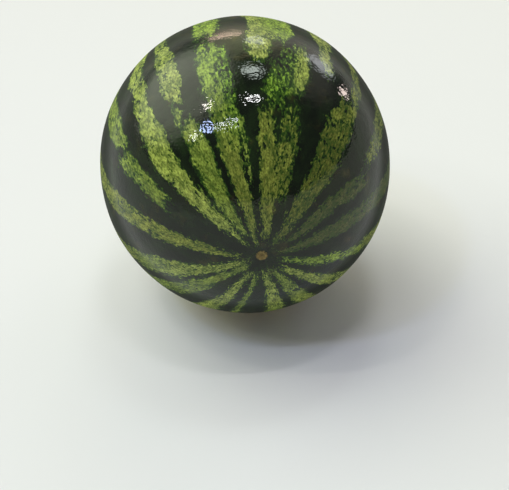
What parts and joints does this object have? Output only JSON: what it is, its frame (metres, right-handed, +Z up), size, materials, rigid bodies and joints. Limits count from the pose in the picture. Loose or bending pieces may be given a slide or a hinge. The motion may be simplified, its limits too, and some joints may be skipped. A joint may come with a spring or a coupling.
{
  "type": "watermelon",
  "caption": "Whole round watermelon lying on its side, with a striped waxy rind, a small flat rest spot and a short dry stem stub.",
  "frame": {"origin": "middle of the small flat spot that the fruit rests on", "axes": "+Z up; the fruit's axis of growth along Y, with the blossom end towards -Y and the stem end towards +Y; +X to the right seen from the blossom end"},
  "size_m": [0.26, 0.3008, 0.2585],
  "materials": {
    "rind": "waxy smooth rind with a satin gloss, near-black green between feathered yellow-green stripes",
    "dried_stem": "dry, matt, fibrous and ribbed, straw brown with some green"
  },
  "bodies": {
    "root": {"fruit": "rind", "stem": "dried_stem"}
  },
  "joints": []
}
